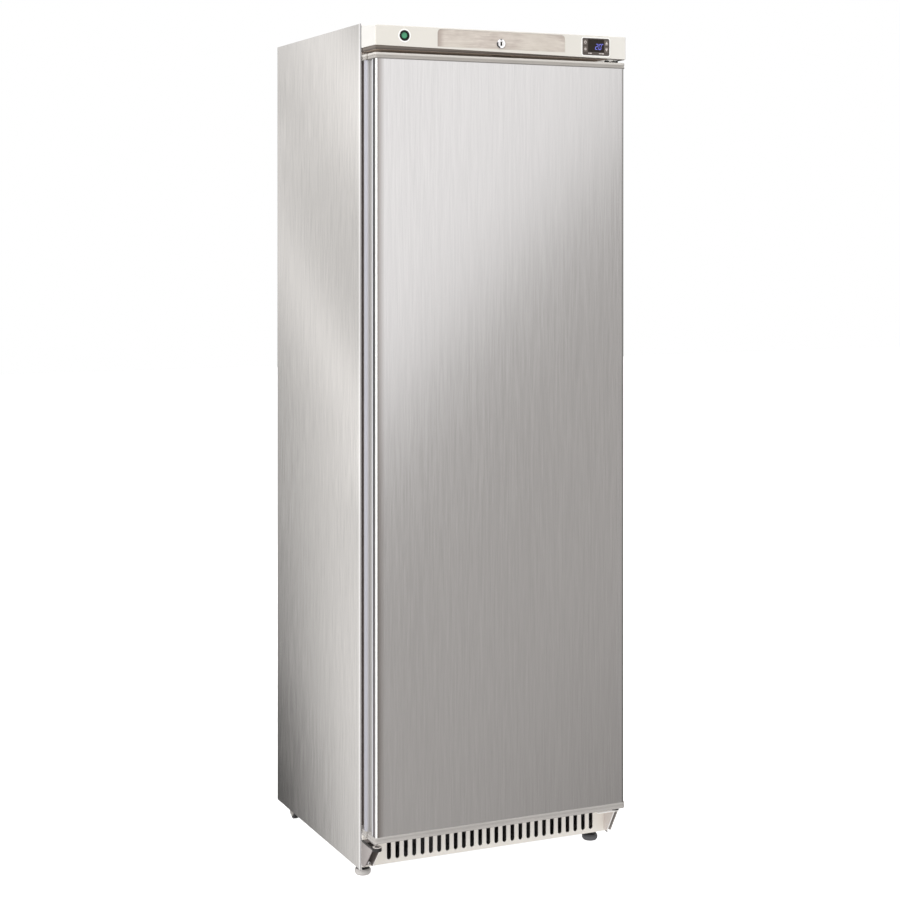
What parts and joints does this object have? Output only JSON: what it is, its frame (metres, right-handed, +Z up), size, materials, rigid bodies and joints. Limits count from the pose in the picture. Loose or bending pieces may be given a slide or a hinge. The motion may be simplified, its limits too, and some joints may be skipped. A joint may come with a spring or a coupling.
{
  "type": "commercial refrigerator",
  "caption": "Upright single-door stainless refrigerator: right-hinged door with full-length finger grip, header with switch, lock and display, slotted base grille.",
  "frame": {"origin": "on the floor, under the middle of the overall box", "axes": "+X to the right of someone facing the door, +Y towards the rear, +Z up"},
  "size_m": [0.6, 0.6054, 1.81],
  "materials": {
    "stainless": "brushed vertically, satin",
    "stainless_door": "brushed vertically, satin",
    "galvanised": "galvanised sheet, spangled",
    "zinc_plate": "bright zinc plated, pressed sheet",
    "cream_paint": "cream powder coat, semi-gloss",
    "taupe_paint": "taupe paint, matt",
    "liner_white": "moulded white, light gloss",
    "foam": "rigid insulating foam, cream",
    "header_plastic": "off-white moulded, fine texture",
    "label_metal": "brushed along its length",
    "cap_plastic": "light grey moulded",
    "profile_grey": "satin anodised extrusion, bright nose",
    "gasket_grey": "soft seal, matt",
    "chrome": "polished",
    "lock_brass": "polished, key slot dark",
    "black_plastic": "black moulded",
    "dark_grey_plastic": "dark grey moulded",
    "window_black": "dark clear window, gloss",
    "green_lens": "translucent green",
    "key_grey": "grey keys with pale marks",
    "bush_plastic": "natural nylon",
    "foot_light": "light grey moulded pad",
    "foot_dark": "dark grey rubber pad",
    "roller_black": "black nylon wheel",
    "white_wire": "white plastic-coated wire",
    "evaporator_alu": "satin plate",
    "white_plastic": "white moulded",
    "lamp_lens": "frosted lens",
    "black_steel": "black enamel",
    "rubber_black": "soft mount",
    "copper": "drawn copper tube",
    "condenser_alu": "fins on tube",
    "motor_grey": "cast grey"
  },
  "bodies": {
    "cabinet": {"side_panel_left": "stainless", "side_panel_right": "stainless", "top_panel": "stainless", "back_panel": "galvanised", "wall_insulation": "foam", "inner_liner": "liner_white", "front_rails": "stainless", "compartment_sheet": "galvanised", "base_plate": "galvanised", "kick_grille": "cream_paint", "shelf_runners": "white_plastic", "evaporator_plate": "evaporator_alu", "fan_housing": "white_plastic", "fan_motors": "motor_grey", "interior_lamp": "lamp_lens", "temperature_probe": "black_plastic", "header_cover": "header_plastic", "header_base": "taupe_paint", "label_plate": "label_metal", "controller_body": "dark_grey_plastic", "display_window": "window_black", "switch_body": "black_plastic", "lock_body": "chrome", "top_hinge_bracket": "zinc_plate", "lower_hinge_bracket": "cream_paint", "spare_hinge_bracket": "zinc_plate", "screws": "chrome", "compressor": "black_steel", "compressor_grommets": "rubber_black", "refrigerant_pipes": "copper", "condenser_coil": "condenser_alu", "condenser_fan_shroud": "black_steel", "condensate_drain": "black_plastic", "rear_cover": "galvanised", "power_inlet": "black_plastic", "roller_brackets": "zinc_plate"},
    "door": {"door_skin": "stainless_door", "door_insulation": "foam", "door_inner_panel": "liner_white", "door_gasket": "gasket_grey", "door_grip_profile": "profile_grey", "door_top_cap": "cap_plastic", "door_bottom_cap": "cap_plastic", "door_bushes": "bush_plastic"},
    "lock_barrel": {"lock_plug": "lock_brass"},
    "power_rocker": {"switch_rocker": "green_lens"},
    "set_key": {"button_set": "key_grey"},
    "mode_key": {"button_mode": "key_grey"},
    "up_key": {"button_up": "key_grey"},
    "down_key": {"button_down": "key_grey"},
    "evaporator_fan": {"evaporator_fan_blades": "white_plastic"},
    "condenser_fan": {"condenser_fan_blades": "black_plastic"},
    "shelf_1": {"wire_shelf_1": "white_wire"},
    "shelf_2": {"wire_shelf_2": "white_wire"},
    "shelf_3": {"wire_shelf_3": "white_wire"},
    "shelf_4": {"wire_shelf_4": "white_wire"},
    "foot_left": {"levelling_foot_left": "foot_light"},
    "foot_right": {"levelling_foot_right": "foot_dark"},
    "roller_left": {"rear_roller_left": "roller_black"},
    "roller_right": {"rear_roller_right": "roller_black"}
  },
  "joints": [
    {"name": "door_hinge", "type": "hinge", "parent": "cabinet", "child": "door", "pos_m": [0.29, -0.2695, 0.9], "axis": [0, 0, 1], "range_deg": [0, 115]},
    {"name": "lock_turn", "type": "hinge", "parent": "cabinet", "child": "lock_barrel", "pos_m": [-0.0077, -0.2825, 1.772], "axis": [0, 1, 0], "range_deg": [0, 90]},
    {"name": "switch_rock", "type": "hinge", "parent": "cabinet", "child": "power_rocker", "pos_m": [-0.2327, -0.2955, 1.7796], "axis": [1, 0, 0], "range_deg": [0, 12]},
    {"name": "set_press", "type": "slide", "parent": "cabinet", "child": "set_key", "axis": [0, 1, 0], "range_m": [0, 0.0008], "stiffness_N_per_m": 400},
    {"name": "mode_press", "type": "slide", "parent": "cabinet", "child": "mode_key", "axis": [0, 1, 0], "range_m": [0, 0.0008], "stiffness_N_per_m": 400},
    {"name": "up_press", "type": "slide", "parent": "cabinet", "child": "up_key", "axis": [0, 1, 0], "range_m": [0, 0.0008], "stiffness_N_per_m": 400},
    {"name": "down_press", "type": "slide", "parent": "cabinet", "child": "down_key", "axis": [0, 1, 0], "range_m": [0, 0.0008], "stiffness_N_per_m": 400},
    {"name": "evaporator_fan_spin", "type": "hinge", "parent": "cabinet", "child": "evaporator_fan", "pos_m": [0, 0.1345, 1.65], "axis": [0, 1, 0], "continuous": true},
    {"name": "condenser_fan_spin", "type": "hinge", "parent": "cabinet", "child": "condenser_fan", "pos_m": [-0.145, 0.1715, 0.152], "axis": [0, 1, 0], "continuous": true},
    {"name": "shelf_1_slide", "type": "slide", "parent": "cabinet", "child": "shelf_1", "axis": [0, -1, 0], "range_m": [0, 0.04]},
    {"name": "shelf_2_slide", "type": "slide", "parent": "cabinet", "child": "shelf_2", "axis": [0, -1, 0], "range_m": [0, 0.04]},
    {"name": "shelf_3_slide", "type": "slide", "parent": "cabinet", "child": "shelf_3", "axis": [0, -1, 0], "range_m": [0, 0.04]},
    {"name": "shelf_4_slide", "type": "slide", "parent": "cabinet", "child": "shelf_4", "axis": [0, -1, 0], "range_m": [0, 0.04]},
    {"name": "foot_left_height", "type": "slide", "parent": "cabinet", "child": "foot_left", "axis": [0, 0, -1], "range_m": [0, 0.012]},
    {"name": "foot_right_height", "type": "slide", "parent": "cabinet", "child": "foot_right", "axis": [0, 0, -1], "range_m": [0, 0.012]},
    {"name": "roller_left_spin", "type": "hinge", "parent": "cabinet", "child": "roller_left", "pos_m": [-0.284, 0.2225, 0.013], "axis": [1, 0, 0], "continuous": true},
    {"name": "roller_right_spin", "type": "hinge", "parent": "cabinet", "child": "roller_right", "pos_m": [0.284, 0.2225, 0.013], "axis": [1, 0, 0], "continuous": true}
  ]
}
